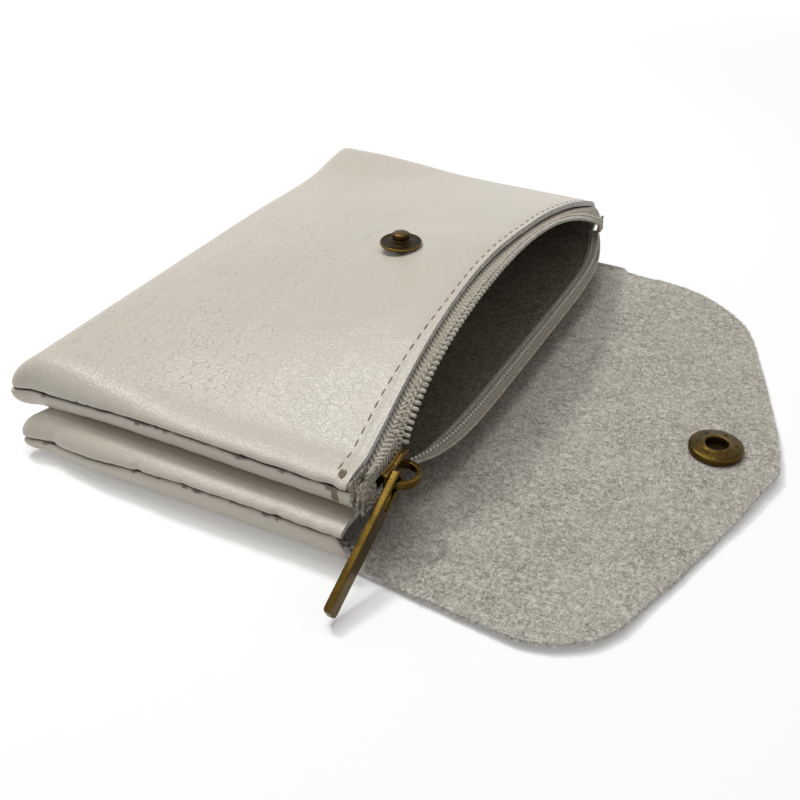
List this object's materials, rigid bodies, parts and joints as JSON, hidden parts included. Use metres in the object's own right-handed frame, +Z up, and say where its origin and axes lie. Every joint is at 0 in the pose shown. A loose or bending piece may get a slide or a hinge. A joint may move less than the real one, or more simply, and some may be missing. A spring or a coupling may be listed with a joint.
{
  "type": "coin pouch",
  "caption": "Flat leather coin pouch with a zip pocket over an open card pocket and a pointed flap with a snap, flap and zip open.",
  "frame": {"origin": "on the table under the middle of the back panel", "axes": "+X from the bottom seam past the mouth to the flap's tip, +Y along the zip away from the slider, +Z up"},
  "size_m": [0.1405, 0.1463, 0.0329],
  "materials": {
    "pebbled_leather": "off-white pebbled grain, satin",
    "flap_leather": "grey-beige suede on the inner side, pebbled grain outside",
    "zip_tape": "woven, greige",
    "zip_teeth": "coil, greige",
    "antique_brass": "antique, dark with worn edges"
  },
  "bodies": {
    "pouch": {"back_panel": "pebbled_leather", "card_pocket_panel": "pebbled_leather", "tape_end_near": "zip_tape", "tape_end_far": "zip_tape", "front_panel": "pebbled_leather", "zip_pocket_back": "pebbled_leather", "zip_tape_front": "zip_tape", "zip_tape_back": "zip_tape", "zip_teeth_front": "zip_teeth", "zip_teeth_back": "zip_teeth"},
    "bend": {"flap_bend": "flap_leather"},
    "flap": {"flap": "flap_leather", "snap_socket": "antique_brass", "socket_spring": "antique_brass", "snap_cap": "antique_brass"},
    "stud": {"snap_stud": "antique_brass", "stud_post": "antique_brass"},
    "slider": {"zip_slider": "antique_brass", "slider_crown": "antique_brass"},
    "pull": {"zip_pull": "antique_brass"}
  },
  "joints": [
    {"name": "flap_fold_back", "type": "hinge", "parent": "pouch", "child": "bend", "pos_m": [0.04655, -0.00257, 0.0053], "axis": [-0.0785, -0.9969, 0], "range_deg": [0, 90], "deforming": ["front_panel", "zip_pocket_back", "zip_tape_front", "zip_tape_back", "zip_teeth_front", "zip_teeth_back", "flap_bend"]},
    {"name": "flap_fold_front", "type": "hinge", "parent": "bend", "child": "flap", "pos_m": [0.05562, -0.00328, 0.0053], "axis": [-0.0785, -0.9969, 0], "range_deg": [0, 90]},
    {"name": "stud_press", "type": "slide", "parent": "pouch", "child": "stud", "axis": [0, 0, -1], "range_m": [0, 0.01523]},
    {"name": "slider_slide", "type": "slide", "parent": "pouch", "child": "slider", "axis": [0, 1, 0], "range_m": [0, 0.108], "deforming": ["zip_tape_front", "zip_tape_back", "zip_teeth_front", "zip_teeth_back"]},
    {"name": "pull_swing", "type": "hinge", "parent": "slider", "child": "pull", "pos_m": [0.04255, -0.0542, 0.0136], "axis": [0, 0, 1], "range_deg": [0, 165]}
  ],
  "couplings": [
    {"joint": "flap_fold_front", "follows": "flap_fold_back", "ratio": 1},
    {"joint": "stud_press", "follows": "flap_fold_back", "m_per_rad": 0.0096957}
  ]
}
